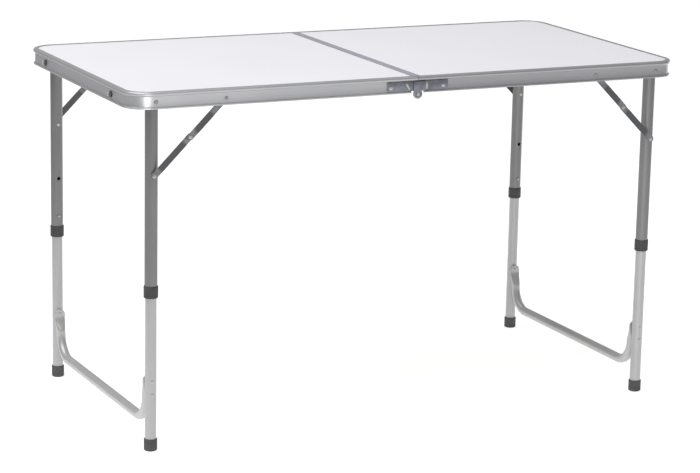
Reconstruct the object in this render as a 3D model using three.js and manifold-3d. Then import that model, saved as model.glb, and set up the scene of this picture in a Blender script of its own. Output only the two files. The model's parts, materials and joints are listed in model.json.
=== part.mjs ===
// A folding table: two hinged half tops, four telescopic legs that fold into them on elbow braces,
// and the fittings that shut the halves together like a case.
// Millimetres, +Z up, +X along the table, origin on the floor under the middle of the top.
import * as THREE from 'three';
import { mergeVertices } from 'three/addons/utils/BufferGeometryUtils.js';
import Module from 'manifold-3d';

const wasm = await Module();
wasm.setup();

// Driving dimensions.
const TABLE = { length: 1200, width: 600, height: 706 };
const FRAME = { height: 33, cornerRadius: 50, wallOut: 4, wallIn: 5.6, lipIn: 10.8 };
const BEAD = { bottom: 8.8, top: 0.8 };
const PANEL = { thickness: 4, sunk: 1.1, edge: 6.3, planed: 0.4 };
const FOLD = { gap: 0.5, pivotHeight: 671, railWall: 1.8, railFlange: 8, railDepth: 24 };
const LEG = { x: 546, y: 272, pivotHeight: 686, aboveRivet: 6 };
const UPPER_TUBE = { radius: 12.5, bore: 11.5, bottom: 317 };
const LOWER_TUBE = { radius: 11, bore: 10, bottom: 3.3, top: 375 };
const COLLAR = { radius: 14.2, low: 304.5, high: 328, seat: 316.6 };
const FOOT = { radius: 13, height: 24, floor: 3 };
const BUTTON = { height: 349.5, pitch: 80, radius: 3.1, hole: 3.6, proud: 2.6 };
const STRETCHER = { radius: 9.5, height: 53, bendRadius: 50, tabTop: 149, tabHalf: 2.4, tabWide: 11.5 };
const BRACE = { reach: 142, width: 13, plate: 1, depth: 2, flange: 1.3, flatEnd: 14, frameFlat: 34 };
const HINGE = { reach: 66, tabRadius: 9.5, plate: 1.5, low: 677, high: 696.7, notch: 14, joggle: 14 };
const HOLE = { legPivot: 3.3, bracePin: 2.6, endPin: 2.6, hingePin: 2.6, legThrough: 3.4, latchPin: 2.4 };
const LEDGE = 1.2;
const CATCH = { y: 190, height: 687, tip: 604, seat: 6.2 };
const LATCH = { reach: 32, width: 10, plate: 1.2 };
const HANDLE = { halfSpan: 61.5, arm: 9, drop: 42, grip: 14, thickness: 4.5, pivotX: 601.5, height: 687 };
const GAP = 0.3;

// Depths in from the outer face of the edge frame, where the brace links lie side by side.
const UPPER_LINK_DEPTH = 6.5;
const LOWER_LINK_DEPTH = 9.7;
const LEG_FACE_DEPTH = TABLE.width / 2 - LEG.y - UPPER_TUBE.radius;

const TUBE_SIDES = 16;
const RIVET_SIDES = 10;
const CORNER_STEPS = 10;

const endX = TABLE.length / 2;
const sideY = TABLE.width / 2;
const frameBottom = TABLE.height - FRAME.height;
const panelTop = TABLE.height - PANEL.sunk;

const finishes = {
  laminate: { color: 0xecebf4, roughness: 0.35, metalness: 0 },
  extrusion: { color: 0xa6a8ae, roughness: 0.42, metalness: 0.9 },
  upperTube: { color: 0x8f9092, roughness: 0.4, metalness: 0.9 },
  lowerTube: { color: 0xb6b8bb, roughness: 0.35, metalness: 0.9 },
  zincSteel: { color: 0x74777c, roughness: 0.45, metalness: 0.85 },
  brightRivet: { color: 0xc4c6c9, roughness: 0.3, metalness: 0.95 },
  darkPlastic: { color: 0x4a4b4e, roughness: 0.7, metalness: 0 },
};

// Solids and booleans.

function solidOf(geometry) {
  const bare = geometry.clone();
  bare.deleteAttribute('normal');
  bare.deleteAttribute('uv');
  const merged = mergeVertices(bare, 1e-4);
  const vertProperties = merged.getAttribute('position').array;
  const triVerts = new Uint32Array(merged.index.array);
  return new wasm.Manifold(new wasm.Mesh({ numProp: 3, vertProperties, triVerts }));
}

function geometryOf(solid) {
  const { vertProperties, triVerts } = solid.getMesh();
  const geometry = new THREE.BufferGeometry();
  geometry.setAttribute('position', new THREE.BufferAttribute(vertProperties, 3));
  geometry.setIndex(new THREE.BufferAttribute(triVerts, 1));
  geometry.computeVertexNormals();
  return geometry;
}

function joined(...geometries) {
  return geometryOf(geometries.map(solidOf).reduce((whole, next) => whole.add(next)));
}

function cut(geometry, ...tools) {
  return geometryOf(tools.map(solidOf).reduce((rest, tool) => rest.subtract(tool), solidOf(geometry)));
}

// Shapes and the ways they are stood up.

function polygon(points) {
  return new THREE.Shape(points.map(([x, y]) => new THREE.Vector2(x, y)));
}

function stadium(length, width) {
  const shape = new THREE.Shape();
  shape.absarc(length, 0, width / 2, -Math.PI / 2, Math.PI / 2);
  shape.absarc(0, 0, width / 2, Math.PI / 2, (3 * Math.PI) / 2);
  return shape;
}

function extruded(shape, depth, curveSegments = 6) {
  return new THREE.ExtrudeGeometry(shape, { depth, curveSegments, bevelEnabled: false });
}

function box(low, high) {
  const size = high.map((value, axis) => value - low[axis]);
  const middle = high.map((value, axis) => (value + low[axis]) / 2);
  return new THREE.BoxGeometry(...size).translate(...middle);
}

// A shape drawn in X and Z, standing on the Y range from low to high.
function standingAcross(shape, low, high, curveSegments) {
  return extruded(shape, high - low, curveSegments).rotateX(Math.PI / 2).translate(0, high, 0);
}

// A shape drawn in Y and Z, standing on the X range from low to high.
function standingAlong(shape, low, high, curveSegments) {
  return extruded(shape, high - low, curveSegments)
    .rotateX(Math.PI / 2)
    .rotateZ(Math.PI / 2)
    .translate(low, 0, 0);
}

// Round stock turned about an upright axis, from [radius, height] pairs.
function turned(profile, sides = TUBE_SIDES) {
  const points = profile.map(([radius, height]) => new THREE.Vector2(radius, height));
  return new THREE.LatheGeometry(points, sides).rotateX(Math.PI / 2);
}

// The same round stock laid on the back side of the frame, its heights read as depths in from the face.
function turnedInto(profile, x, z, sides = RIVET_SIDES) {
  return turned(profile, sides).rotateX(Math.PI / 2).translate(x, sideY, z);
}

// The same again on the end of the frame.
function turnedIntoEnd(profile, y, z, sides = RIVET_SIDES) {
  return turned(profile, sides).rotateY(-Math.PI / 2).translate(endX, y, z);
}

function plug(radius, low, high) {
  return [[0, low], [radius, low], [radius, high], [0, high]];
}

function roundTube(radius, bore, low, high) {
  return turned([[bore, low], [radius, low], [radius, high], [bore, high], [bore, low]]);
}

// Stations of a path in the XY plane: straight runs joined by round corners.
class StationPath extends THREE.Curve {
  constructor(stations) {
    super();
    this.stations = stations;
  }

  getUtoTmapping(u) {
    return u;
  }

  stationAt(t) {
    return this.stations[Math.round(t * (this.stations.length - 1))];
  }

  getPoint(t) {
    return this.stationAt(t).point.clone();
  }

  getTangent(t) {
    return this.stationAt(t).tangent.clone();
  }
}

// The outer face line of one half: out along the back, round the end and home along the front.
function edgeStations() {
  const radius = FRAME.cornerRadius;
  const centreX = endX - radius;
  const station = (x, y, heading) => ({
    point: new THREE.Vector3(x, y, TABLE.height),
    tangent: new THREE.Vector3(Math.sin(heading), Math.cos(heading), 0),
  });
  const stations = [station(FOLD.gap, sideY, Math.PI / 2)];
  for (const side of [1, -1]) {
    for (let step = 0; step <= CORNER_STEPS; step += 1) {
      const turn = (step / CORNER_STEPS) * (Math.PI / 2) + (side > 0 ? 0 : Math.PI / 2);
      const x = centreX + radius * Math.sin(turn);
      const y = side * (sideY - radius) + radius * Math.cos(turn);
      stations.push(station(x, y, Math.PI / 2 + turn));
    }
  }
  stations.push(station(FOLD.gap, -sideY, (3 * Math.PI) / 2));
  return stations;
}

// The top.

// Drawn as depth below the top and distance out from the face line.
function edgeSection() {
  const ledgeTop = PANEL.sunk + PANEL.thickness + GAP;
  const ledgeBottom = ledgeTop + LEDGE;
  const pocket = PANEL.edge - GAP;
  return polygon([
    [BEAD.top, -FRAME.lipIn],
    [BEAD.top, -pocket],
    [ledgeTop, -pocket],
    [ledgeTop, -FRAME.lipIn],
    [ledgeBottom, -FRAME.lipIn],
    [ledgeBottom, -FRAME.wallIn],
    [FRAME.height, -FRAME.wallIn],
    [FRAME.height, -1.6],
    [FRAME.height - 0.8, -1],
    [FRAME.height - 2.4, -1],
    [FRAME.height - 3.4, -2],
    [FRAME.height - 3.4, -FRAME.wallOut],
    [BEAD.bottom, -FRAME.wallOut],
    [BEAD.bottom - 0.6, -2.4],
    [BEAD.bottom - 2, -0.8],
    [4.4, 0],
    [2.2, -0.8],
    [0.7, -2.6],
    [0, -5],
    [0, -8],
    [0.3, -10],
  ]);
}

function edgeFrame() {
  const stations = edgeStations();
  const swept = new THREE.ExtrudeGeometry(edgeSection(), {
    steps: stations.length - 1,
    extrudePath: new StationPath(stations),
    bevelEnabled: false,
  });
  const cuts = [];
  for (const side of [1, -1]) {
    const face = side * (sideY + 2);
    const inside = side * (sideY - FRAME.wallIn - 1);
    const low = [-1, Math.min(face, inside), frameBottom - 2];
    const high = [HINGE.notch, Math.max(face, inside), HINGE.low - GAP];
    cuts.push(box(low, high));
    for (const [x, radius] of [[LEG.x, HOLE.legPivot], [LEG.x - BRACE.reach, HOLE.bracePin]]) {
      const hole = new THREE.CylinderGeometry(radius, radius, FRAME.wallIn, RIVET_SIDES);
      cuts.push(hole.translate(x, side * (sideY - FRAME.wallIn), LEG.pivotHeight));
    }
    cuts.push(turnedIntoEnd(plug(HOLE.endPin, 1, FRAME.wallIn + 1), side * CATCH.y, CATCH.height));
  }
  return cut(swept, ...cuts);
}

// The outline of one half's panel, set in from the face line by a margin, from inner at the fold.
function panelOutline(inner, margin) {
  const outer = endX - margin;
  const half = sideY - margin;
  const radius = FRAME.cornerRadius - margin;
  const shape = new THREE.Shape();
  shape.moveTo(inner, -half);
  shape.lineTo(outer - radius, -half);
  shape.absarc(outer - radius, -half + radius, radius, -Math.PI / 2, 0);
  shape.absarc(outer - radius, half - radius, radius, 0, Math.PI / 2);
  shape.lineTo(inner, half);
  return shape;
}

// The rim is planed thinner where it runs under the lips of the frame and the fold rail.
function panel() {
  const rimOutline = panelOutline(FOLD.gap + FOLD.railWall + GAP, PANEL.edge);
  const fieldOutline = panelOutline(FOLD.gap + FOLD.railFlange + GAP, FRAME.lipIn + GAP);
  const rim = extruded(rimOutline, PANEL.thickness - PANEL.planed, CORNER_STEPS);
  const field = extruded(fieldOutline, PANEL.thickness, CORNER_STEPS);
  return joined(rim, field).translate(0, 0, panelTop - PANEL.thickness);
}

function foldRail() {
  const top = TABLE.height;
  const wall = FOLD.gap + FOLD.railWall;
  const ledgeTop = panelTop - PANEL.thickness - GAP;
  const half = sideY - FRAME.lipIn - GAP;
  const section = polygon([
    [FOLD.gap, top - FOLD.railDepth],
    [wall, top - FOLD.railDepth],
    [wall, ledgeTop - LEDGE],
    [FOLD.gap + FOLD.railFlange, ledgeTop - LEDGE],
    [FOLD.gap + FOLD.railFlange, ledgeTop],
    [wall, ledgeTop],
    [wall, top - BEAD.top],
    [FOLD.gap + FOLD.railFlange, top - BEAD.top],
    [FOLD.gap + FOLD.railFlange - 0.5, top],
    [FOLD.gap, top],
  ]);
  return standingAcross(section, -half, half);
}

// The centre hinges, drawn on the back side of the frame.

function hingePlane(depth) {
  return [sideY - depth - HINGE.plate, sideY - depth];
}

const INNER_LEAF_DEPTH = 2.2;
const OUTER_LEAF_DEPTH = 0.4;

function hingeHole() {
  return turnedInto(plug(HOLE.hingePin, -1, FRAME.wallIn), 0, FOLD.pivotHeight);
}

// A plate with a round tab hanging from its fold end.
function leftLeaf() {
  const [low, high] = hingePlane(INNER_LEAF_DEPTH);
  const rise = HINGE.low - FOLD.pivotHeight;
  const reach = Math.sqrt(HINGE.tabRadius ** 2 - rise ** 2);
  const shape = new THREE.Shape();
  shape.moveTo(-reach, HINGE.low);
  shape.lineTo(-HINGE.reach, HINGE.low);
  shape.lineTo(-HINGE.reach, HINGE.high);
  shape.lineTo(-FOLD.gap, HINGE.high);
  const end = Math.PI - Math.asin(rise / HINGE.tabRadius);
  shape.absarc(0, FOLD.pivotHeight, HINGE.tabRadius, Math.PI / 2, end - 2 * Math.PI, true);
  return cut(standingAcross(shape, low, high, 9), hingeHole());
}

// A plate that steps out over the left leaf, with a tab to match.
function rightLeaf() {
  const [innerLow, innerHigh] = hingePlane(INNER_LEAF_DEPTH);
  const [outerLow, outerHigh] = hingePlane(OUTER_LEAF_DEPTH);
  const step = HINGE.joggle;
  const disc = new THREE.Shape();
  disc.absarc(0, FOLD.pivotHeight, HINGE.tabRadius, 0, 2 * Math.PI);
  return cut(
    joined(
      box([step, innerLow, HINGE.low], [HINGE.reach, innerHigh, HINGE.high]),
      box([step, innerLow, HINGE.low], [step + 3, outerHigh, HINGE.high - 1]),
      box([-9, outerLow, HINGE.low], [step + 3, outerHigh, HINGE.high - 1]),
      standingAcross(disc, outerLow, outerHigh, 9),
      box([-6, outerLow, FOLD.pivotHeight], [6, outerHigh, HINGE.low + 1]),
    ),
    hingeHole(),
  );
}

function hingeRivet() {
  const outerFace = OUTER_LEAF_DEPTH - 0.2;
  const innerFace = INNER_LEAF_DEPTH + HINGE.plate + 0.2;
  return turnedInto([
    [0, outerFace - 1.3],
    [2.6, outerFace - 1.3],
    [4.2, outerFace],
    [2.3, outerFace],
    [2.3, innerFace],
    [4.2, innerFace],
    [4.2, innerFace + 1.2],
    [0, innerFace + 1.2],
  ], 0, FOLD.pivotHeight);
}

// End fittings: catch studs on the left half, latches and a carrying handle on the right.

function catchStud() {
  const tip = endX - CATCH.tip;
  return turnedIntoEnd([
    [0, tip],
    [2.6, tip],
    [3.8, tip + 1],
    [3.8, tip + 2],
    [2.2, tip + 3],
    [2.2, 2.2],
    [CATCH.seat - 0.4, 2.2],
    [CATCH.seat, 3.7],
    [2.2, 3.7],
    [2.2, FRAME.wallIn + GAP],
    [4, FRAME.wallIn + GAP],
    [4, FRAME.wallIn + 1.3],
    [0, FRAME.wallIn + 1.3],
  ], CATCH.y, CATCH.height);
}

function latch() {
  const far = LATCH.reach + 6;
  const half = LATCH.width / 2;
  const slot = 2.6;
  const x = endX - LATCH.plate / 2;
  const shape = new THREE.Shape();
  shape.absarc(0, 0, half, -Math.PI / 2, Math.PI / 2);
  shape.lineTo(-far, half);
  shape.lineTo(-far, -half);
  shape.lineTo(-LATCH.reach - slot, -half);
  shape.lineTo(-LATCH.reach - slot, 0);
  shape.absarc(-LATCH.reach, 0, slot, Math.PI, 0, true);
  shape.lineTo(-LATCH.reach + slot, -half);
  const strap = standingAlong(shape, x, x + LATCH.plate).translate(0, CATCH.y, CATCH.height);
  return cut(strap, turnedIntoEnd(plug(HOLE.latchPin, -3, 2), CATCH.y, CATCH.height));
}

function latchRivet() {
  return turnedIntoEnd([
    [0, -2.2],
    [2.8, -2.2],
    [4, -0.9],
    [2.1, -0.9],
    [2.1, 1],
    [4, 1],
    [4, 3.7],
    [2.1, 3.7],
    [2.1, FRAME.wallIn + GAP],
    [4, FRAME.wallIn + GAP],
    [4, FRAME.wallIn + 1.3],
    [0, FRAME.wallIn + 1.3],
  ], CATCH.y, CATCH.height);
}

function handle() {
  const top = HANDLE.height + 3.5;
  const bottom = HANDLE.height - HANDLE.drop;
  const outer = HANDLE.halfSpan;
  const inner = outer - HANDLE.arm - 3;
  const round = 14;
  const shape = new THREE.Shape();
  shape.moveTo(outer, top);
  shape.lineTo(outer - HANDLE.arm, top);
  shape.lineTo(inner, bottom + HANDLE.grip);
  shape.lineTo(-inner, bottom + HANDLE.grip);
  shape.lineTo(-outer + HANDLE.arm, top);
  shape.lineTo(-outer, top);
  shape.absarc(-outer + round, bottom + round, round, Math.PI, (3 * Math.PI) / 2);
  shape.absarc(outer - round, bottom + round, round, -Math.PI / 2, 0);
  const low = endX - 0.5;
  const strap = standingAlong(shape, low, low + HANDLE.thickness);
  const reach = HANDLE.halfSpan + 2.6;
  const pins = [1, -1].map((side) => {
    const pin = new THREE.CylinderGeometry(1.3, 1.3, 6, RIVET_SIDES);
    return pin.translate(HANDLE.pivotX, side * (reach - 3), HANDLE.height);
  });
  return joined(strap, ...pins);
}

function handleBracket() {
  const near = HANDLE.halfSpan + 0.5;
  const wallFace = endX - FRAME.wallOut + GAP;
  const ear = box(
    [wallFace, near, HANDLE.height - 4],
    [CATCH.tip - GAP, near + 2.2, HANDLE.height + 4],
  );
  const foot = box(
    [wallFace, near, HANDLE.height - 6.5],
    [wallFace + 1.6, near + 16, HANDLE.height + 6.5],
  );
  const bore = new THREE.CylinderGeometry(1.6, 1.6, 10, RIVET_SIDES);
  return cut(joined(ear, foot), bore.translate(HANDLE.pivotX, near, HANDLE.height));
}

// Legs, drawn at the back right corner.

function acrossLeg(radius, from, to, height) {
  const pin = new THREE.CylinderGeometry(radius, radius, to - from, RIVET_SIDES);
  return pin.translate(LEG.x, (from + to) / 2, height);
}

function upperLeg() {
  const top = LEG.pivotHeight + LEG.aboveRivet;
  const tube = roundTube(UPPER_TUBE.radius, UPPER_TUBE.bore, UPPER_TUBE.bottom, top);
  const buttonHoles = [0, BUTTON.pitch].map((rise) => (
    acrossLeg(BUTTON.hole, LEG.y - UPPER_TUBE.radius - 1, LEG.y, BUTTON.height + rise)
  ));
  const through = acrossLeg(HOLE.legThrough, LEG.y - 20, LEG.y + 20, LEG.pivotHeight);
  return cut(tube.translate(LEG.x, LEG.y, 0), through, ...buttonHoles);
}

function legCollar() {
  return turned([
    [LOWER_TUBE.radius + 0.5, COLLAR.low],
    [COLLAR.radius - 0.6, COLLAR.low],
    [COLLAR.radius, COLLAR.low + 0.8],
    [COLLAR.radius, COLLAR.high - 0.8],
    [COLLAR.radius - 0.6, COLLAR.high],
    [UPPER_TUBE.radius + 0.5, COLLAR.high],
    [UPPER_TUBE.radius + 0.5, COLLAR.seat],
    [LOWER_TUBE.radius + 0.5, COLLAR.seat],
    [LOWER_TUBE.radius + 0.5, COLLAR.low],
  ]).translate(LEG.x, LEG.y, 0);
}

function lowerLeg() {
  const tube = roundTube(LOWER_TUBE.radius, LOWER_TUBE.bore, LOWER_TUBE.bottom, LOWER_TUBE.top);
  const hole = acrossLeg(BUTTON.hole, LEG.y - LOWER_TUBE.radius - 1, LEG.y, BUTTON.height);
  return cut(tube.translate(LEG.x, LEG.y, 0), hole);
}

function footCap() {
  return turned([
    [0, 0],
    [FOOT.radius - 1.2, 0],
    [FOOT.radius, 1.4],
    [FOOT.radius, FOOT.height - 0.8],
    [FOOT.radius - 0.6, FOOT.height],
    [LOWER_TUBE.radius + 0.4, FOOT.height],
    [LOWER_TUBE.radius + 0.4, FOOT.floor],
    [0, FOOT.floor],
  ]).translate(LEG.x, LEG.y, 0);
}

// A bent leaf inside the lower tube that pushes its button out through both tubes.
function springClip() {
  const halfWidth = 3;
  const leaf = polygon([
    [LEG.y - 8.8, BUTTON.height + 7],
    [LEG.y - 7.8, BUTTON.height + 7],
    [LEG.y - 7.8, BUTTON.height - 8],
    [LEG.y + 1, BUTTON.height - 26],
    [LEG.y + 7.6, BUTTON.height + 2],
    [LEG.y + 8.6, BUTTON.height + 2],
    [LEG.y + 1.4, BUTTON.height - 28],
    [LEG.y + 0.4, BUTTON.height - 28],
    [LEG.y - 8.8, BUTTON.height - 8.4],
  ]);
  const spring = standingAlong(leaf, LEG.x - halfWidth, LEG.x + halfWidth);
  const tip = LEG.y - UPPER_TUBE.radius - BUTTON.proud;
  const button = turned([
    [0, tip],
    [BUTTON.radius - 1, tip + 0.4],
    [BUTTON.radius, tip + 1.5],
    [BUTTON.radius, LEG.y - 8],
    [0, LEG.y - 8],
  ], RIVET_SIDES).rotateX(-Math.PI / 2);
  return joined(spring, button.translate(LEG.x, 0, BUTTON.height));
}

function legPivotRivet() {
  const farFace = LEG_FACE_DEPTH + 2 * UPPER_TUBE.radius + 0.4;
  return turnedInto([
    [0, 2.4],
    [3.2, 2.4],
    [4.5, 3.7],
    [3, 3.7],
    [3, FRAME.wallIn + GAP],
    [5, FRAME.wallIn + GAP],
    [5, LEG_FACE_DEPTH - GAP],
    [3, LEG_FACE_DEPTH - GAP],
    [3, farFace],
    [4.5, farFace],
    [3.2, farFace + 1.4],
    [0, farFace + 1.4],
  ], LEG.x, LEG.pivotHeight);
}

// A closed skin over rings of the same number of points.
function lofted(rings) {
  const count = rings[0].length;
  const corners = rings.flat();
  const faces = [];
  rings.slice(1).forEach((_, ring) => {
    for (let side = 0; side < count; side += 1) {
      const next = (side + 1) % count;
      const a = ring * count + side;
      const b = ring * count + next;
      faces.push(a, b + count, b, a, a + count, b + count);
    }
  });
  for (let side = 1; side < count - 1; side += 1) {
    const last = corners.length - count;
    faces.push(0, side, side + 1, last, last + side + 1, last + side);
  }
  const geometry = new THREE.BufferGeometry().setFromPoints(corners);
  geometry.setIndex(faces);
  return geometry;
}

// A tube bent into a U between the legs, its ends flattened against them.
function stretcher() {
  const sides = 14;
  const legFace = LEG.y - LOWER_TUBE.radius - GAP;
  const riserY = legFace - STRETCHER.radius;
  const bendTop = STRETCHER.height + STRETCHER.bendRadius;
  const ring = (y, z, lean, wide, thick) => {
    const points = [];
    for (let side = 0; side < sides; side += 1) {
      const angle = (side / sides) * 2 * Math.PI;
      const across = wide * Math.cos(angle);
      const out = thick * Math.sin(angle);
      points.push(new THREE.Vector3(LEG.x + across, y + out * Math.cos(lean), z + out * Math.sin(lean)));
    }
    return points;
  };
  const round = STRETCHER.radius;
  const flatY = legFace - STRETCHER.tabHalf;
  const middle = [];
  const bendSteps = 6;
  for (let step = 0; step <= bendSteps; step += 1) {
    const turn = (step / bendSteps) * (Math.PI / 2);
    const y = riserY - STRETCHER.bendRadius * (1 - Math.cos(turn));
    const z = bendTop - STRETCHER.bendRadius * Math.sin(turn);
    middle.push(ring(y, z, -turn, round, round));
  }
  const tab = [
    ring(flatY, STRETCHER.tabTop, 0, STRETCHER.tabWide * 0.55, STRETCHER.tabHalf),
    ring(flatY, STRETCHER.tabTop - 3.5, 0, STRETCHER.tabWide * 0.9, STRETCHER.tabHalf),
    ring(flatY, STRETCHER.tabTop - 9, 0, STRETCHER.tabWide, STRETCHER.tabHalf),
    ring(flatY, bendTop + 5, 0, STRETCHER.tabWide, STRETCHER.tabHalf),
    ring((flatY + riserY) / 2, bendTop + 1.5, 0, (STRETCHER.tabWide + round) / 2, round * 0.66),
  ];
  const half = [...tab, ...middle];
  const mirrored = half.map((points) => points.map(({ x, y, z }) => new THREE.Vector3(x, -y, z)));
  return lofted([...half, ...mirrored.reverse()]);
}

// Elbow braces, drawn at the back right corner.

const legPivot = [LEG.x, LEG.pivotHeight];
const upperPin = [legPivot[0] - BRACE.reach, legPivot[1]];
const lowerPin = [legPivot[0], legPivot[1] - BRACE.reach];
const elbow = [(upperPin[0] + lowerPin[0]) / 2, (upperPin[1] + lowerPin[1]) / 2];
const linkLength = BRACE.reach / Math.SQRT2;

// One pressed channel link, from a pin to the elbow, its plate behind and its flanges facing out.
// Both ends stay flat, the one at the pin for a length of its own.
function link(from, depth, flatAtPin, ...bosses) {
  const direction = Math.atan2(elbow[1] - from[1], elbow[0] - from[0]);
  const back = depth + BRACE.depth;
  const place = (geometry) => (
    geometry.rotateY(-direction).translate(from[0], sideY, from[1])
  );
  const strap = place(standingAcross(stadium(linkLength, BRACE.width), -back, -back + BRACE.plate, 4));
  const flanges = [-1, 1].map((side) => {
    const outer = side * (BRACE.width / 2);
    const inner = side * (BRACE.width / 2 - BRACE.flange);
    const low = [flatAtPin, -back, Math.min(outer, inner)];
    const high = [linkLength - BRACE.flatEnd, -depth, Math.max(outer, inner)];
    return place(box(low, high));
  });
  return joined(strap, ...flanges, ...bosses);
}

function upperLink() {
  const back = UPPER_LINK_DEPTH + BRACE.depth;
  const front = back - BRACE.plate;
  const face = front + 0.2;
  const head = turnedInto([[0, 6.2], [2.4, 6.2], [3.75, 6.8], [3.75, face], [0, face]], ...elbow);
  const washer = turnedInto(plug(5, back - 0.2, LOWER_LINK_DEPTH - GAP), ...elbow);
  const body = link(upperPin, UPPER_LINK_DEPTH, BRACE.frameFlat, head, washer);
  return cut(body, turnedInto(plug(HOLE.bracePin, UPPER_LINK_DEPTH - 1, back + 1), ...upperPin));
}

function lowerLink() {
  const back = LOWER_LINK_DEPTH + BRACE.depth;
  const front = back - BRACE.plate;
  const face = front + 0.2;
  const rear = back - 0.2;
  const washer = turnedInto(plug(5, LOWER_LINK_DEPTH, face), ...elbow);
  const tailEnd = back + 1;
  const tailRim = back + 0.5;
  const tail = turnedInto([[0, rear], [3.75, rear], [3.75, tailRim], [2.4, tailEnd], [0, tailEnd]], ...elbow);
  const head = turnedInto([[0, 8.9], [2.4, 8.9], [3.6, 9.6], [3.6, face], [0, face]], ...lowerPin);
  const boss = turnedInto(plug(4.5, rear, LEG_FACE_DEPTH - GAP), ...lowerPin);
  return link(lowerPin, LOWER_LINK_DEPTH, BRACE.flatEnd, washer, tail, head, boss);
}

function braceFrameRivet() {
  return turnedInto([
    [0, 2.6],
    [2.6, 2.6],
    [4, 3.7],
    [2.2, 3.7],
    [2.2, UPPER_LINK_DEPTH + BRACE.depth],
    [0, UPPER_LINK_DEPTH + BRACE.depth],
  ], ...upperPin);
}

// Assembly.

const table = new THREE.Group();

function place(name, geometry, finish, sideX = 1, sideYSign = 1) {
  const mesh = new THREE.Mesh(geometry, new THREE.MeshStandardMaterial(finishes[finish]));
  mesh.name = name;
  mesh.scale.set(sideX, sideYSign, 1);
  table.add(mesh);
}

const ends = [['left', -1], ['right', 1]];
const sides = [['front', -1], ['back', 1]];

for (const [end, sx] of ends) {
  place(`${end}_panel`, panel(), 'laminate', sx);
  place(`${end}_edge_frame`, edgeFrame(), 'extrusion', sx);
  place(`${end}_fold_rail`, foldRail(), 'extrusion', sx);
  place(`${end}_leg_stretcher`, stretcher(), 'lowerTube', sx);
  for (const [side, sy] of sides) {
    const corner = `${end}_${side}`;
    place(`${corner}_upper_leg`, upperLeg(), 'upperTube', sx, sy);
    place(`${corner}_leg_collar`, legCollar(), 'darkPlastic', sx, sy);
    place(`${corner}_lower_leg`, lowerLeg(), 'lowerTube', sx, sy);
    place(`${corner}_foot_cap`, footCap(), 'darkPlastic', sx, sy);
    place(`${corner}_spring_clip`, springClip(), 'brightRivet', sx, sy);
    place(`${corner}_leg_pivot_rivet`, legPivotRivet(), 'brightRivet', sx, sy);
    place(`${corner}_upper_brace`, upperLink(), 'zincSteel', sx, sy);
    place(`${corner}_lower_brace`, lowerLink(), 'zincSteel', sx, sy);
    place(`${corner}_brace_rivet`, braceFrameRivet(), 'brightRivet', sx, sy);
  }
}

for (const [side, sy] of sides) {
  place(`${side}_hinge_left_leaf`, leftLeaf(), 'zincSteel', 1, sy);
  place(`${side}_hinge_right_leaf`, rightLeaf(), 'zincSteel', 1, sy);
  place(`${side}_hinge_rivet`, hingeRivet(), 'brightRivet', 1, sy);
  place(`${side}_catch_stud`, catchStud(), 'brightRivet', -1, sy);
  place(`${side}_latch`, latch(), 'zincSteel', 1, sy);
  place(`${side}_latch_rivet`, latchRivet(), 'brightRivet', 1, sy);
  place(`${side}_handle_bracket`, handleBracket(), 'darkPlastic', 1, sy);
}
place('carry_handle', handle(), 'darkPlastic');

export default table;
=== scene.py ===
import json
import math

import bmesh
import bpy
from mathutils import Matrix, Vector


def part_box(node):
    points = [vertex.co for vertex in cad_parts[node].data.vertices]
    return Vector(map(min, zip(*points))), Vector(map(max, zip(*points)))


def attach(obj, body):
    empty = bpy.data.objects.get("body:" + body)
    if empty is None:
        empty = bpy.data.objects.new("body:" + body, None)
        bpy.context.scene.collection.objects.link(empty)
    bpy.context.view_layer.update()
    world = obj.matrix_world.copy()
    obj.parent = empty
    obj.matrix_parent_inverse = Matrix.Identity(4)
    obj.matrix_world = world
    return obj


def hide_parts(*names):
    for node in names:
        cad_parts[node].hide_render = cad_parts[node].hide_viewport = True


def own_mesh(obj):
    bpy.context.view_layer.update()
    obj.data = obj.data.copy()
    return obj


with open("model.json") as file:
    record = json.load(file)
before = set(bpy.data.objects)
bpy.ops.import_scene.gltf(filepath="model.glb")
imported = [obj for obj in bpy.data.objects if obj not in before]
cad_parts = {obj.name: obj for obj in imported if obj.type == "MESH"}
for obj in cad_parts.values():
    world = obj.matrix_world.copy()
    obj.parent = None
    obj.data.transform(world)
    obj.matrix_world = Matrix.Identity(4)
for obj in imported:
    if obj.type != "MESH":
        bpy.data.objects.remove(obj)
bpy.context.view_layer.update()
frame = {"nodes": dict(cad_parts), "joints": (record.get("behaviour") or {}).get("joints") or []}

# Sizes in the dictionaries below are millimetres; mm turns them into the scene's metres.
mm = 0.001
ends = {"left": -1, "right": 1}
sides = {"front": -1, "back": 1}

# Places read from the frame.
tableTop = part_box("left_edge_frame")[1].z
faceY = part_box("left_edge_frame")[1].y
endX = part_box("right_edge_frame")[1].x


def jointAt(name):
    return next(Vector(joint["pos_m"]) for joint in frame["joints"] if joint["name"] == name)


def centreOf(node):
    low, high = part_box(node)
    return (low + high) / 2


hingeSpot = jointAt("top_fold")
legX = abs(jointAt("right_leg_fold").x)
legPivotZ = jointAt("right_leg_fold").z
legY = centreOf("right_back_upper_leg").y
lowerPinZ = jointAt("right_back_lower_brace_fold").z
upperPinX = abs(jointAt("right_back_upper_brace_fold").x)
elbowX = (upperPinX + legX) / 2
elbowZ = (legPivotZ + lowerPinZ) / 2
handleSpot = jointAt("handle_swing")
latchSpot = jointAt("back_latch_swing")


# Nodes, for materials and for geometry alike.

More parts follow.
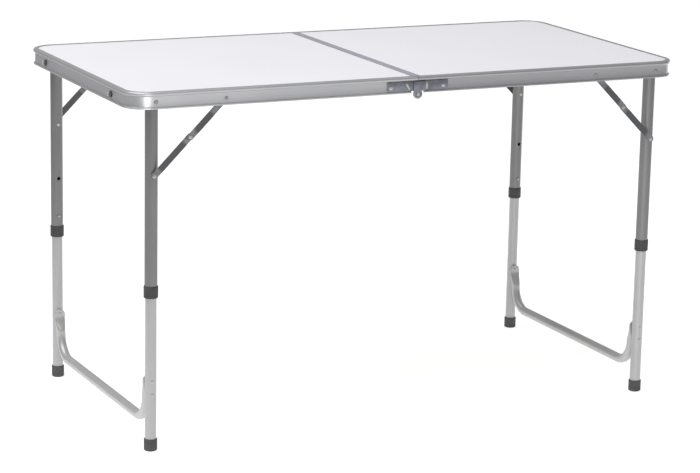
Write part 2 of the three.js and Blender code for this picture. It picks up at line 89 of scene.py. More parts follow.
class Wire:
    def __init__(self, bench, socket):
        self.bench = bench
        self.socket = socket

    def maths(self, operation, first, second):
        return self.bench.add("ShaderNodeMath", {"operation": operation}, {0: first, 1: second})

    def __add__(self, other):
        return self.maths("ADD", self, other)

    def __radd__(self, other):
        return self.maths("ADD", other, self)

    def __sub__(self, other):
        return self.maths("SUBTRACT", self, other)

    def __rsub__(self, other):
        return self.maths("SUBTRACT", other, self)

    def __mul__(self, other):
        return self.maths("MULTIPLY", self, other)

    def __rmul__(self, other):
        return self.maths("MULTIPLY", other, self)

    def __pow__(self, other):
        return self.maths("POWER", self, other)

    def __gt__(self, other):
        return self.maths("GREATER_THAN", self, other)


class Bench:
    def __init__(self, tree):
        self.tree = tree

    # One node: its settings first, then the values or links of its sockets.
    def add(self, kind, settings=None, values=None, output=0):
        node = self.tree.nodes.new(kind)
        for name, value in (settings or {}).items():
            if name == "stops":
                self.setStops(node.color_ramp, value)
            else:
                setattr(node, name, value)
        for key, value in (values or {}).items():
            for item in value if isinstance(value, list) else [value]:
                if isinstance(item, Wire):
                    self.tree.links.new(item.socket, node.inputs[key])
                else:
                    node.inputs[key].default_value = item
        return Wire(self, node.outputs[output]) if node.outputs else node

    def setStops(self, ramp, stops):
        while len(ramp.elements) < len(stops):
            ramp.elements.new(1)
        for element, (position, level) in zip(ramp.elements, stops):
            element.position = position
            element.color = (level, level, level, 1)

    def mixColours(self, mask, first, second):
        return self.add("ShaderNodeMix", {"data_type": "RGBA"}, {0: mask, 6: first, 7: second}, 2)

    def spot(self, source, scale):
        coordinates = self.add("ShaderNodeTexCoord", {}, {}, source)
        return self.add("ShaderNodeMapping", {}, {"Vector": coordinates, "Scale": scale})

    def noise(self, spot, scale, detail=3, rough=0.5):
        values = {"Vector": spot, "Scale": scale, "Detail": detail, "Roughness": rough}
        return self.add("ShaderNodeTexNoise", {}, values)

    def ramp(self, mask, *stops):
        return self.add("ShaderNodeValToRGB", {"stops": stops}, {"Fac": mask})

    def bump(self, height, strength, distance):
        values = {"Height": height, "Strength": strength, "Distance": distance}
        return self.add("ShaderNodeBump", {}, values)


    def attribute(self, name, kind):
        return self.add("GeometryNodeInputNamedAttribute", {"data_type": kind}, {"Name": name})

    # The three parts of a vector.
    def split(self, vector):
        outputs = self.add("ShaderNodeSeparateXYZ", {}, {0: vector}).socket.node.outputs
        return [Wire(self, output) for output in outputs]

    # Goes softly from first to second while the value goes from start to stop.
    def fade(self, value, start, stop, first, second):
        values = {"Value": value, "From Min": start, "From Max": stop, "To Min": first, "To Max": second}
        return self.add("ShaderNodeMapRange", {"interpolation_type": "SMOOTHSTEP"}, values)


def grey(level, blue=0.0):
    return (level, level, level + blue, 1)


def material(name, recipe, look):
    made = bpy.data.materials.new(name)
    made.use_nodes = True
    made.node_tree.nodes.clear()
    bench = Bench(made.node_tree)
    shader = bench.add("ShaderNodeBsdfPrincipled", {}, recipe(bench, look))
    bench.add("ShaderNodeOutputMaterial", {}, {"Surface": shader})
    return made


# Finishes.

laminateLook = {"clean": (0.862, 0.856, 0.896, 1), "dull": (0.842, 0.838, 0.88, 1), "grain": 0.05}
fibreboardLook = {"pale": (0.43, 0.36, 0.27, 1), "dark": (0.33, 0.265, 0.19, 1)}
# stretch is how the grain is drawn out, lines how deep it is
extruded = {"source": "UV", "stretch": (4, 1500, 1), "lines": 0.12}
tubular = {"source": "Object", "stretch": (900, 900, 5), "lines": 0.08}
edgeLook = {"bright": (0.47, 0.472, 0.485, 1), "dull": (0.40, 0.402, 0.415, 1), "metal": 0.7, "rough": 0.34}
foldLook = {"bright": (0.52, 0.51, 0.57, 1), "dull": (0.45, 0.44, 0.50, 1), "metal": 0.6, "rough": 0.40}
upperTubeLook = {"bright": grey(0.29, 0.002), "dull": grey(0.23, 0.002), "metal": 0.7, "rough": 0.36}
lowerTubeLook = {"bright": grey(0.53, 0.002), "dull": grey(0.46, 0.002), "metal": 0.6, "rough": 0.32}
stretcherLook = {"bright": grey(0.60, 0.002), "dull": grey(0.53, 0.002), "metal": 0.55, "rough": 0.34,
                 "source": "UV", "stretch": (5, 1100, 1), "lines": 0.10}
# zinc steel's channel colour is painted shade, laid into the pressed channel of the brace links
zincLook = {"bright": (0.33, 0.335, 0.345, 1), "dull": (0.20, 0.205, 0.215, 1), "metal": 0.75, "rough": 0.40,
            "channel": (0.13, 0.133, 0.14, 1)}
hingeLook = {"bright": (0.30, 0.315, 0.35, 1), "dull": (0.225, 0.236, 0.265, 1), "metal": 0.8, "rough": 0.34}
rivetLook = {"bright": grey(0.62), "dull": grey(0.42), "metal": 0.9, "rough": 0.24}
dullRivetLook = {"bright": grey(0.44, 0.006), "dull": grey(0.34, 0.006), "metal": 0.8, "rough": 0.42}
plasticLook = {"dark": (0.052, 0.052, 0.053, 1), "pale": (0.078, 0.078, 0.080, 1),
               "grain": 1500, "rough": 0.45}
rubberLook = {"dark": (0.075, 0.076, 0.080, 1), "pale": (0.118, 0.118, 0.122, 1),
              "grain": 1100, "rough": 0.62}


def laminateRecipe(bench, look):
    spot = bench.spot("Object", (1, 1, 1))
    cloud = bench.noise(spot, 6, 4)
    grain = bench.noise(spot, 1400, 2)
    scuffs = bench.noise(bench.spot("Object", (3, 60, 1)), 8, 5, 0.7)
    mask = bench.ramp(cloud, (0.35, 0), (0.7, 1))
    return {
        "Base Color": bench.mixColours(mask, look["clean"], look["dull"]),
        "Roughness": 0.30 + 0.10 * scuffs + 0.04 * grain,
        "Normal": bench.bump(grain + 0.4 * cloud, look["grain"], 0.0004),
        "Specular IOR Level": 0.45,
    }


def fibreboardRecipe(bench, look):
    spot = bench.spot("Object", (1, 1, 1))
    flakes = bench.noise(spot, 520, 6, 0.75)
    patches = bench.noise(spot, 14, 3)
    mask = bench.ramp(0.8 * flakes + 0.2 * patches, (0.38, 0), (0.62, 1))
    return {
        "Base Color": bench.mixColours(mask, look["dark"], look["pale"]),
        "Roughness": 0.72 + 0.15 * flakes,
        "Normal": bench.bump(flakes, 0.25, 0.0006),
    }


# Drawn or rolled metal, with fine lines along the way that the map stretches.
def drawnMetal(bench, look):
    along = bench.noise(bench.spot(look["source"], look["stretch"]), 1, 4, 0.6)
    handled = bench.noise(bench.spot(look["source"], (9, 9, 9)), 1, 3)
    mask = bench.ramp(0.7 * along + 0.3 * handled, (0.3, 0), (0.7, 1))
    return {
        "Base Color": bench.mixColours(mask, look["dull"], look["bright"]),
        "Metallic": look["metal"],
        "Roughness": look["rough"] + 0.16 * along + 0.06 * handled,
        "Normal": bench.bump(along, look["lines"], 0.0003),
    }


def platedMetal(bench, look):
    spot = bench.spot("Object", (1, 1, 1))
    cloud = bench.noise(spot, 120, 4, 0.65)
    fine = bench.noise(spot, 2600, 2)
    mask = bench.ramp(cloud, (0.35, 0), (0.65, 1))
    return {
        "Base Color": bench.mixColours(mask, look["dull"], look["bright"]),
        "Metallic": look["metal"],
        "Roughness": look["rough"] + 0.14 * cloud + 0.05 * fine,
        "Normal": bench.bump(fine + cloud, 0.12, 0.0002),
    }


# The pressed channel of a link is painted darker than its flat ends: this darker colour is painted shade in
# the channel.
def channelShadedMetal(bench, look):
    values = platedMetal(bench, look)
    pressed = bench.add("ShaderNodeAttribute", {"attribute_name": "pressed"}, {}, "Fac")
    values["Base Color"] = bench.mixColours(pressed, values["Base Color"], look["channel"])
    return values


def moulded(bench, look):
    spot = bench.spot("Object", (1, 1, 1))
    cloud = bench.noise(spot, 45, 4, 0.6)
    pebbles = bench.add("ShaderNodeTexVoronoi", {}, {"Vector": spot, "Scale": look["grain"]})
    mask = bench.ramp(cloud, (0.35, 0), (0.75, 1))
    return {
        "Base Color": bench.mixColours(mask, look["dark"], look["pale"]),
        "Roughness": look["rough"] + 0.15 * cloud,
        "Normal": bench.bump(pebbles, 0.10, 0.0003),
        "Specular IOR Level": 0.4,
    }


whiteLaminate = material("whiteLaminate", laminateRecipe, laminateLook)
fibreboard = material("fibreboard", fibreboardRecipe, fibreboardLook)
edgeAluminium = material("edgeAluminium", drawnMetal, {**extruded, **edgeLook})
foldAluminium = material("foldAluminium", drawnMetal, {**extruded, **foldLook})
stretcherAluminium = material("stretcherAluminium", drawnMetal, stretcherLook)
upperTubeAluminium = material("upperTubeAluminium", drawnMetal, {**tubular, **upperTubeLook})
lowerTubeAluminium = material("lowerTubeAluminium", drawnMetal, {**tubular, **lowerTubeLook})
zincSteel = material("zincSteel", channelShadedMetal, zincLook)
hingeSteel = material("hingeSteel", platedMetal, hingeLook)
brightSteel = material("brightSteel", platedMetal, rivetLook)
dullRivet = material("dullRivet", platedMetal, dullRivetLook)
darkPlastic = material("darkPlastic", moulded, plasticLook)
footRubber = material("footRubber", moulded, rubberLook)
print("finishes ready")


# Shapes.

# Rounds every corner of an outline. A point may carry a radius of its own as a third number.
def filleted(points, radius, steps=3, closed=True):
    rounded = []
    last = len(points) - 1
    for index, point in enumerate(points):
        corner = Vector(point[:2])
        if not closed and index in (0, last):
            rounded.append(corner)
            continue
        back = Vector(points[index - 1][:2]) - corner
        ahead = Vector(points[(index + 1) % len(points)][:2]) - corner
        wanted = point[2] if len(point) > 2 else radius
        half = back.angle(ahead) / 2
        reach = min(wanted / math.tan(half), 0.48 * back.length, 0.48 * ahead.length)
        if reach < 1e-7 or half > math.radians(89.5):
            rounded.append(corner)
            continue
        middle = corner + (back.normalized() + ahead.normalized()).normalized() * (reach / math.cos(half))
        start = corner + back.normalized() * reach - middle
        stop = corner + ahead.normalized() * reach - middle
        sweep = start.angle(stop)
        for step in range(steps + 1):
            share = step / steps
            spoke = start * math.sin((1 - share) * sweep) + stop * math.sin(share * sweep)
            rounded.append(middle + spoke / math.sin(sweep))
    return rounded


def smoothed(mesh, sharpAt):
    mesh.shade_smooth()
    mesh.set_sharp_from_angle(angle=math.radians(sharpAt))
    return mesh


def settled(shape, name, sharpAt=32):
    bmesh.ops.remove_doubles(shape, verts=shape.verts, dist=1e-6)
    bmesh.ops.recalc_face_normals(shape, faces=shape.faces)
    mesh = bpy.data.meshes.new(name)
    shape.to_mesh(mesh)
    shape.free()
    return smoothed(mesh, sharpAt)


# A closed skin over rings, with a map that runs along them and around them in metres.
def skinOver(shape, rings):
    layer = shape.loops.layers.uv.verify()
    rows = [[shape.verts.new(point) for point in ring] for ring in rings]
    count = len(rings[0])
    widest = max(rings, key=lambda ring: sum((a - b).length for a, b in zip(ring, ring[1:])))
    around = [0]
    for index in range(count):
        around.append(around[-1] + (widest[(index + 1) % count] - widest[index]).length)
    centres = [sum(ring, Vector()) / count for ring in rings]
    along = 0
    for row in range(len(rows) - 1):
        ahead = along + (centres[row + 1] - centres[row]).length
        for index in range(count):
            after = (index + 1) % count
            corners = (rows[row][index], rows[row][after], rows[row + 1][after], rows[row + 1][index])
            places = ((along, around[index]), (along, around[index + 1]),
                      (ahead, around[index + 1]), (ahead, around[index]))
            for loop, place in zip(shape.faces.new(corners).loops, places):
                loop[layer].uv = place
        along = ahead
    shape.faces.new(rows[0])
    shape.faces.new(rows[-1])


# Round stock turned about an axis, from (radius, distance along the axis) pairs in millimetres.
def turned(shape, profile, centre, axis, around=40):
    axis = Vector(axis).normalized()
    across = axis.orthogonal().normalized()
    beside = axis.cross(across)
    rings = []
    for step in range(around):
        angle = 2 * math.pi * step / around
        spoke = across * math.cos(angle) + beside * math.sin(angle)
        rings.append([Vector(centre) + (spoke * radius + axis * height) * mm for radius, height in profile])
    rings.append(rings[0])
    for near, far in zip(rings, rings[1:]):
        first = [shape.verts.new(point) for point in near]
        second = [shape.verts.new(point) for point in far]
        for index in range(len(profile)):
            after = (index + 1) % len(profile)
            if profile[index][0] < 1e-6 and profile[after][0] < 1e-6:
                continue
            shape.faces.new((first[index], first[after], second[after], second[index]))


def placed(name, data):
    made = bpy.data.objects.new(name, data)
    bpy.context.scene.collection.objects.link(made)
    return made


# One fastener or fitting, turned from an open profile along the axis.
def turnedMesh(name, profile, centre, axis, steps=3, closed=False):
    shape = bmesh.new()
    turned(shape, filleted(profile, 0.2, steps, closed), centre, axis)
    return settled(shape, name)


def addPiece(name, mesh, finishes, body, slotName, *replaced):
    piece = placed(name, mesh)
    for finish in finishes:
        if finish.name not in [slot.name for slot in mesh.materials if slot]:
            mesh.materials.append(finish)
    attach(piece, body)
    if replaced:
        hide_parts(*replaced)
    return piece


def evaluated(holder):
    bpy.context.view_layer.update()
    graph = bpy.context.evaluated_depsgraph_get()
    mesh = bpy.data.meshes.new_from_object(
        holder.evaluated_get(graph), preserve_all_data_layers=True, depsgraph=graph)
    holder.modifiers.clear()
    bpy.data.objects.remove(holder)
    return mesh


# A CAD node's own shape with its edges eased.
def eased(node, width, segments=2):
    shape = bmesh.new()
    shape.from_mesh(frame["nodes"][node].data)
    bmesh.ops.remove_doubles(shape, verts=shape.verts, dist=1e-5)
    bmesh.ops.dissolve_limit(shape, angle_limit=math.radians(1), verts=shape.verts, edges=shape.edges)
    crisp = [edge for edge in shape.edges if edge.is_manifold and edge.calc_face_angle(0) > math.radians(34)]
    bmesh.ops.bevel(shape, geom=crisp, offset=width * mm, segments=segments, profile=0.5,
                    affect="EDGES", clamp_overlap=True)
    return settled(shape, node)


# Edge frames: one extrusion bent round each half of the top.

edgeFrame = {
    "corner": 50,
    "cornerSteps": 26,
    "straightSteps": 8,
    "fold": 0.5,
    "notch": 14,
    "notchTop": 676.7,
    # depth below the top, distance out from the face line, radius of the corner there
    "section": [
        (0.8, -10.8, 0.1), (0.8, -6, 0.2), (5.4, -6, 0.2), (5.4, -10.8, 0.3), (6.6, -10.8, 0.3),
        (6.6, -5.6, 0.8), (33, -5.6, 0.3), (33, -1.7, 0.7), (32.3, -1, 0.7), (30.4, -1, 0.8),
        (29.6, -2.2, 0.5), (29.4, -4, 0.6), (8.9, -4, 0.5), (8.5, -2.6, 0.5), (7.2, -0.9, 1.8),
        (4.4, 0, 3.2), (2.2, -0.7, 3.2), (0.7, -2.6, 3.2), (0, -5, 4), (0, -8, 4), (0.25, -10.2, 0.8),
    ],
}


# The side and the turn of each step round the two corners of a half.
def cornerTurns():
    for side, first in ((1, 0.0), (-1, math.pi / 2)):
        for step in range(edgeFrame["cornerSteps"] + 1):
            yield side, first + step / edgeFrame["cornerSteps"] * math.pi / 2


def edgeStations(sign):
    radius = edgeFrame["corner"] * mm
    foldX = edgeFrame["fold"] * mm
    turnX = endX - radius
    straight = edgeFrame["straightSteps"]
    stations = []
    for step in range(straight):
        stations.append((foldX + (turnX - foldX) * step / straight, faceY, 0.0))
    for side, turn in cornerTurns():
        x = turnX + radius * math.sin(turn)
        y = side * (faceY - radius) + radius * math.cos(turn)
        stations.append((x, y, turn))
    for step in range(1, straight + 1):
        stations.append((turnX + (foldX - turnX) * step / straight, -faceY, math.pi))
    return [(Vector((sign * x, y, tableTop)), Vector((sign * math.sin(turn), math.cos(turn), 0)))
            for x, y, turn in stations]


def makeEdgeFrame(end, sign):
    section = filleted(edgeFrame["section"], 0.3, 4)
    rings = [[point + outward * (out * mm) - Vector((0, 0, depth * mm)) for depth, out in section]
             for point, outward in edgeStations(sign)]
    shape = bmesh.new()
    skinOver(shape, rings)
    holder = placed(end + "_edge", settled(shape, end + "_edge"))
    notch = bmesh.new()
    reach = edgeFrame["notch"] * mm
    top = edgeFrame["notchTop"] * mm
    for side in sides.values():
        size = (2 * reach, 0.05, 0.05)
        place = Matrix.Translation((0, side * (faceY - 0.01), top - 0.025))
        bmesh.ops.create_cube(notch, size=1, matrix=place @ Matrix.Diagonal((*size, 1)))
    cutter = placed("notchCutter", settled(notch, "notchCutter"))
    cut = holder.modifiers.new("notch", "BOOLEAN")
    cut.object = cutter
    cut.solver = "EXACT"
    mesh = smoothed(evaluated(holder), 32)
    bpy.data.objects.remove(cutter)
    addPiece(end + "_edge_moulding", mesh, [edgeAluminium], end + "_top", "edge_extrusion",
             end + "_edge_frame")


for end, sign in ends.items():
    makeEdgeFrame(end, sign)
print("edge frames bent")


# Panels: a white laminate sheet over fibreboard, its rim planed thinner under the lips.

panelSizes = {"rim": 6.3, "field": 11.1, "foldRim": 2.6, "foldField": 8.8, "planed": 0.4, "ease": 0.25}


def panelRing(sign, foldX, margin, z):
    radius = (edgeFrame["corner"] - margin) * mm
    outer = endX - margin * mm
    half = faceY - margin * mm
    points = [(foldX * mm, half)]
    for side, turn in cornerTurns():
        x = outer - radius + radius * math.sin(turn)
        points.append((x, side * (half - radius) + radius * math.cos(turn)))
    points.append((foldX * mm, -half))
    return [Vector((sign * x, y, z)) for x, y in points]


def makePanel(end, sign):
    low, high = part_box(end + "_panel")
    size = panelSizes
    rimTop = high.z - size["planed"] * mm
    ease = size["ease"]
    steps = [
        (size["foldRim"] + ease, size["rim"] + ease, low.z),
        (size["foldRim"], size["rim"], low.z + ease * mm),
        (size["foldRim"], size["rim"], rimTop),
        (size["foldField"], size["field"], rimTop),
        (size["foldField"], size["field"], high.z - ease * mm),
        (size["foldField"] + ease, size["field"] + ease, high.z),
    ]
    shape = bmesh.new()
    skinOver(shape, [panelRing(sign, foldX, margin, z) for foldX, margin, z in steps])
    mesh = settled(shape, end + "_panel_board")
    addPiece(end + "_panel_board", mesh, [whiteLaminate, fibreboard], end + "_top",
             "white_laminate", end + "_panel")
    for face in mesh.polygons:
        if face.center.z < low.z + 0.3 * mm or (face.normal.z == 0 and face.center.z < rimTop):
            face.material_index = 1


for end, sign in ends.items():
    makePanel(end, sign)
print("panels laid")


# Rails that close the two halves along the fold.

foldRail = {
    "ease": 0.35,
    # distance from the fold, depth below the top
    "section": [
        (0.5, 24), (2.3, 24), (2.3, 6.6), (8.5, 6.6), (8.5, 5.4), (2.3, 5.4), (2.3, 0.8), (8.5, 0.8),
        (8.2, 0.05), (0.5, 0),
    ],
}


def makeFoldRail(end, sign):
    low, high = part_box(end + "_fold_rail")
    section = filleted(foldRail["section"], foldRail["ease"], 3)
    rings = [[Vector((sign * away * mm, y, tableTop - depth * mm)) for away, depth in section]
             for y in (low.y, 0, high.y)]
    shape = bmesh.new()
    skinOver(shape, rings)
    addPiece(end + "_fold_strip", settled(shape, end + "_fold_strip"), [foldAluminium], end + "_top",
             "edge_extrusion", end + "_fold_rail")


for end, sign in ends.items():
    makeFoldRail(end, sign)
print("fold rails closed")


# Geometry Nodes: trees that repeat a shape on the points of a holder mesh.

def growTree(name, inputs, build):
    tree = bpy.data.node_groups.new(name, "GeometryNodeTree")
    tree.interface.new_socket("Geometry", in_out="INPUT", socket_type="NodeSocketGeometry")
    for label, kind in inputs:
        tree.interface.new_socket(label, in_out="INPUT", socket_type="NodeSocket" + kind)
    tree.interface.new_socket("Geometry", in_out="OUTPUT", socket_type="NodeSocketGeometry")
    bench = Bench(tree)
    source = tree.nodes.new("NodeGroupInput")
    given = {socket.name: Wire(bench, socket) for socket in source.outputs if socket.name}
    grown = build(bench, given)
    joined = bench.add("GeometryNodeRealizeInstances", {}, {"Geometry": grown})
    painted = bench.add("GeometryNodeSetMaterial", {}, {"Geometry": joined, "Material": given["Material"]})
    bench.add("NodeGroupOutput", {}, {0: painted})
    return tree


def growOn(tree, points, values, attributes=None):
    mesh = bpy.data.meshes.new("holder")
    mesh.from_pydata([tuple(point) for point in points], [], [])
    for label, rows in (attributes or {}).items():
        vector = isinstance(rows[0], (tuple, Vector))
        layer = mesh.attributes.new(label, "FLOAT_VECTOR" if vector else "FLOAT", "POINT")
        for index, row in enumerate(rows):
            if vector:
                layer.data[index].vector = row
            else:
                layer.data[index].value = row
    holder = placed("holder", mesh)
    modifier = holder.modifiers.new("grow", "NODES")
    modifier.node_group = tree
    for item in tree.interface.items_tree:
        if item.in_out == "INPUT" and item.name in values:
            modifier[item.identifier] = values[item.name]
    return smoothed(evaluated(holder), 34)


# Round heads with a dimple, one at each point, facing along the point's own direction.
def buildRivetHeads(bench, given):
    disc = bench.add("GeometryNodeMeshCylinder", {"fill_type": "TRIANGLE_FAN"},
                     {"Vertices": given["Around"], "Side Segments": 1, "Fill Segments": 7,
                      "Radius": 1.0, "Depth": 1.0})
    place = bench.add("GeometryNodeInputPosition")
    x, y, z = bench.split(place)
    fromAxis = (x * x + y * y) ** 0.5
    bulge = given["Rim"] + (1 - given["Rim"]) * (1 - 0.98 * fromAxis * fromAxis) ** 0.5
    hollow = bench.fade(fromAxis, 0.12, 0.42, 1.0, 0.0)
    level = (bulge - given["Dimple"] * hollow) * (z > 0)
    moved = bench.add("ShaderNodeCombineXYZ", {}, {"X": x, "Y": y, "Z": level})
    head = bench.add("GeometryNodeSetPosition", {}, {"Geometry": disc, "Position": moved})
    facing = bench.attribute("facing", "FLOAT_VECTOR")
    radius = bench.attribute("radius", "FLOAT")
    height = radius * given["Height Share"]
    size = bench.add("ShaderNodeCombineXYZ", {}, {"X": radius, "Y": radius, "Z": height})
    turn = bench.add("FunctionNodeAlignRotationToVector", {"axis": "Z"}, {"Vector": facing})
    return bench.add("GeometryNodeInstanceOnPoints", {},
                     {"Points": given["Geometry"], "Instance": head, "Rotation": turn, "Scale": size})


rivetTree = growTree(
    "rivetHeads",
    [("Around", "Int"), ("Rim", "Float"), ("Dimple", "Float"), ("Height Share", "Float"),
     ("Material", "Material")],
    buildRivetHeads,
)
rivetSizes = {"Around": 28, "Rim": 0.3, "Dimple": 0.45, "Height Share": 0.38}


# rivets holds (point, direction that the head faces, radius in millimetres)
def rivetHeads(rivets, finish=None, dimple=rivetSizes["Dimple"]):
    values = {**rivetSizes, "Dimple": dimple, "Material": finish or brightSteel}
    attributes = {
        "facing": [Vector(facing) for _, facing, _ in rivets],
        "radius": [radius * mm for _, _, radius in rivets],
    }
    return growOn(rivetTree, [point for point, _, _ in rivets], values, attributes)


# Leg tubes: bored, with a row of button holes towards the other leg of the pair.
def buildLegTubes(bench, given):
    length = given["High"] - given["Low"]
    lift = bench.add("ShaderNodeCombineXYZ", {}, {"Z": (given["High"] + given["Low"]) * 0.5})

    def bar(radius, depth, around):
        stock = bench.add("GeometryNodeMeshCylinder", {"fill_type": "NGON"},
                          {"Vertices": around, "Side Segments": 1, "Radius": radius, "Depth": depth})
        return bench.add("GeometryNodeTransform", {}, {"Geometry": stock, "Translation": lift})

    outside = bar(given["Radius"], length, 72)
    inside = bar(given["Bore"], length + 0.01, 72)
    drill = bench.add("GeometryNodeMeshCylinder", {"fill_type": "NGON"},
                      {"Vertices": 28, "Side Segments": 1, "Radius": given["Hole Radius"],
                       "Depth": given["Radius"] * 1.2})
    laid = bench.add("GeometryNodeTransform", {}, {"Geometry": drill, "Rotation": (math.pi / 2, 0, 0)})
    start = bench.add("ShaderNodeCombineXYZ", {}, {"Y": given["Radius"] * -1.0, "Z": given["Hole Height"]})
    pitch = bench.add("ShaderNodeCombineXYZ", {}, {"Z": given["Hole Pitch"]})
    row = bench.add("GeometryNodeMeshLine", {"mode": "OFFSET"},
                    {"Count": given["Holes"], "Start Location": start, "Offset": pitch})
    drills = bench.add("GeometryNodeInstanceOnPoints", {}, {"Points": row, "Instance": laid})
    drills = bench.add("GeometryNodeRealizeInstances", {}, {"Geometry": drills})
    tube = bench.add("GeometryNodeMeshBoolean", {"operation": "DIFFERENCE"},
                     {"Mesh 1": outside, "Mesh 2": [inside, drills]})
    turn = bench.attribute("turn", "FLOAT_VECTOR")
    return bench.add("GeometryNodeInstanceOnPoints", {},
                     {"Points": given["Geometry"], "Instance": tube, "Rotation": turn})


legTubeTree = growTree(
    "legTubes",
    [("Radius", "Float"), ("Bore", "Float"), ("Low", "Float"), ("High", "Float"), ("Hole Radius", "Float"),
     ("Hole Height", "Float"), ("Hole Pitch", "Float"), ("Holes", "Int"), ("Material", "Material")],
    buildLegTubes,
)

upperTube = {"Radius": 12.5, "Bore": 11.5, "Low": 317, "High": 692, "Hole Radius": 3.6,
             "Hole Height": 349.5, "Hole Pitch": 80, "Holes": 2}
lowerTube = {"Radius": 11, "Bore": 10, "Low": 3.3, "High": 375, "Hole Radius": 3.6,
             "Hole Height": 349.5, "Hole Pitch": 80, "Holes": 1}


def legTubes(sign, sizes, finish):
    values = {label: size if label == "Holes" else size * mm for label, size in sizes.items()}
    values["Material"] = finish
    points = [(sign * legX, side * legY, 0) for side in sides.values()]
    turns = [Vector((0, 0, 0 if side > 0 else math.pi)) for side in sides.values()]
    return growOn(legTubeTree, points, values, {"turn": turns})


for end, sign in ends.items():
    for half, sizes, finish in (
        ("upper", upperTube, upperTubeAluminium),
        ("lower", lowerTube, lowerTubeAluminium),
    ):
        addPiece(f"{end}_{half}_tubes", legTubes(sign, sizes, finish), [finish], f"{end}_leg_{half}s",
                 "leg_aluminium", *[f"{end}_{side}_{half}_leg" for side in sides])
print("leg tubes bored")


# Collars and foot caps, turned in one go for the two legs of a pair.

collar = {
    "profile": [
        (11.5, 304.5, 0.4), (13.5, 304.5, 0.9), (14.2, 306.2, 0.8), (14.2, 309.5, 0.2), (13.8, 310, 0.2),
        (13.8, 310.8, 0.2), (14.2, 311.3, 0.2), (14.2, 326.6, 0.8), (13.6, 328, 0.7), (13, 328, 0.3),
        (13, 316.6, 0.2), (11.5, 316.6, 0.2),
    ],
}
footCap = {
    "profile": [
        (0, 0), (10.8, 0, 1.2), (13, 1.6, 1.4), (13, 8.5, 0.5), (12.75, 9, 0.2), (12.75, 9.8, 0.2),
        (13, 10.3, 0.5), (13, 23, 0.8), (12.3, 24, 0.6), (11.4, 24, 0.3), (11.4, 3, 0.2), (0, 3),
    ],
}


def turnedPair(name, profile, sign, closed):
    shape = bmesh.new()
    for side in sides.values():
        turned(shape, filleted(profile, 0.3, 3, closed), (sign * legX, side * legY, 0), (0, 0, 1), 64)
    return settled(shape, name)


for end, sign in ends.items():
    collars = turnedPair(end + "_collars", collar["profile"], sign, True)
    addPiece(end + "_collars", collars, [darkPlastic], end + "_leg_uppers", "dark_plastic",
             *[f"{end}_{side}_leg_collar" for side in sides])
    caps = turnedPair(end + "_foot_caps", footCap["profile"], sign, False)
    addPiece(end + "_foot_caps", caps, [footRubber], end + "_leg_lowers", "foot_rubber",
             *[f"{end}_{side}_foot_cap" for side in sides])
print("collars and foot caps turned")


# Stretchers: a tube bent into a U, its ends flattened against the legs.

stretcher = {
    "radius": 9.5, "height": 53, "bend": 50, "tabTop": 149, "tabHalf": 2.4, "tabWide": 11.5,
    "clear": 0.3, "flatFrom": 136, "dent": 1.6, "around": 36, "bendSteps": 18, "flareSteps": 14,
}


def smooth(low, high, value):
    share = min(1, max(0, (value - low) / (high - low)))
    return share * share * (3 - 2 * share)


def stretcherRings(sign):
    size = stretcher
    legFace = legY / mm - lowerTube["Radius"] - size["clear"]
    bendTop = size["height"] + size["bend"]
    riserY = legFace - size["radius"]

    def ring(y, z, lean, wide, thick, dent=0.0):
        points = []
        for step in range(size["around"]):
            angle = 2 * math.pi * step / size["around"]
            out = thick * math.sin(angle)
            # the face away from the leg is pressed in where the tube starts to flatten
            out += dent * max(0, -math.sin(angle)) ** 2
            points.append(Vector((sign * (legX / mm + wide * math.cos(angle)),
                                  y + out * math.cos(lean), z + out * math.sin(lean))) * mm)
        return points

    half = []
    tipSteps = 8
    for step in range(tipSteps + 1):
        rise = math.cos(step / tipSteps * math.pi / 2)
        z = size["tabTop"] - size["tabWide"] * (1 - rise)
        wide = max(0.6, size["tabWide"] * math.sqrt(max(0, 1 - rise * rise)))
        thick = size["tabHalf"] * (1 if step else 0.7)
        half.append((legFace - size["tabHalf"], z, 0, wide, thick, 0))
    for step in range(size["flareSteps"] + 1):
        z = size["flatFrom"] + (bendTop - size["flatFrom"]) * step / size["flareSteps"]
        opened = 1 - smooth(bendTop, size["flatFrom"], z)
        thick = size["tabHalf"] + (size["radius"] - size["tabHalf"]) * opened
        wide = size["tabWide"] + (size["radius"] - size["tabWide"]) * opened
        dent = size["dent"] * math.sin(math.pi * opened)
        half.append((legFace - thick, z, 0, wide, thick, dent))
    for step in range(1, size["bendSteps"] + 1):
        turn = step / size["bendSteps"] * math.pi / 2
        y = riserY - size["bend"] * (1 - math.cos(turn))
        z = bendTop - size["bend"] * math.sin(turn)
        half.append((y, z, -turn, size["radius"], size["radius"], 0))
    rings = [ring(*station) for station in half]
    mirrored = [[Vector((point.x, -point.y, point.z)) for point in station] for station in reversed(rings)]
    return rings + mirrored


stretcherRivets = [113, 140]
for end, sign in ends.items():
    shape = bmesh.new()
    skinOver(shape, stretcherRings(sign))
    addPiece(end + "_stretcher_bar", settled(shape, end + "_stretcher_bar"), [stretcherAluminium],
             end + "_leg_lowers", "leg_aluminium", end + "_leg_stretcher")
    rivets = []
    for side in sides.values():
        outer = legY + lowerTube["Radius"] * mm - 0.2 * mm
        inner = legY - (lowerTube["Radius"] + stretcher["clear"] + 2 * stretcher["tabHalf"] + 0.1) * mm
        for height in stretcherRivets:
            rivets.append(((sign * legX, side * outer, height * mm), (0, side, 0), 3.2))
            rivets.append(((sign * legX, side * inner, height * mm), (0, -side, 0), 3.2))
    addPiece(end + "_stretcher_rivets", rivetHeads(rivets), [brightSteel], end + "_leg_lowers",
             "bright_steel")
print("stretchers bent")


# Elbow braces: pressed channel links with flat round ends, and the rivets that pin them.

brace = {
    "width": 13, "plate": 1, "depth": 2, "frameFlat": 34, "flatEnd": 11, "ramp": 8,
    "upperDepth": 6.5, "lowerDepth": 9.7, "legFace": 15.5,
}


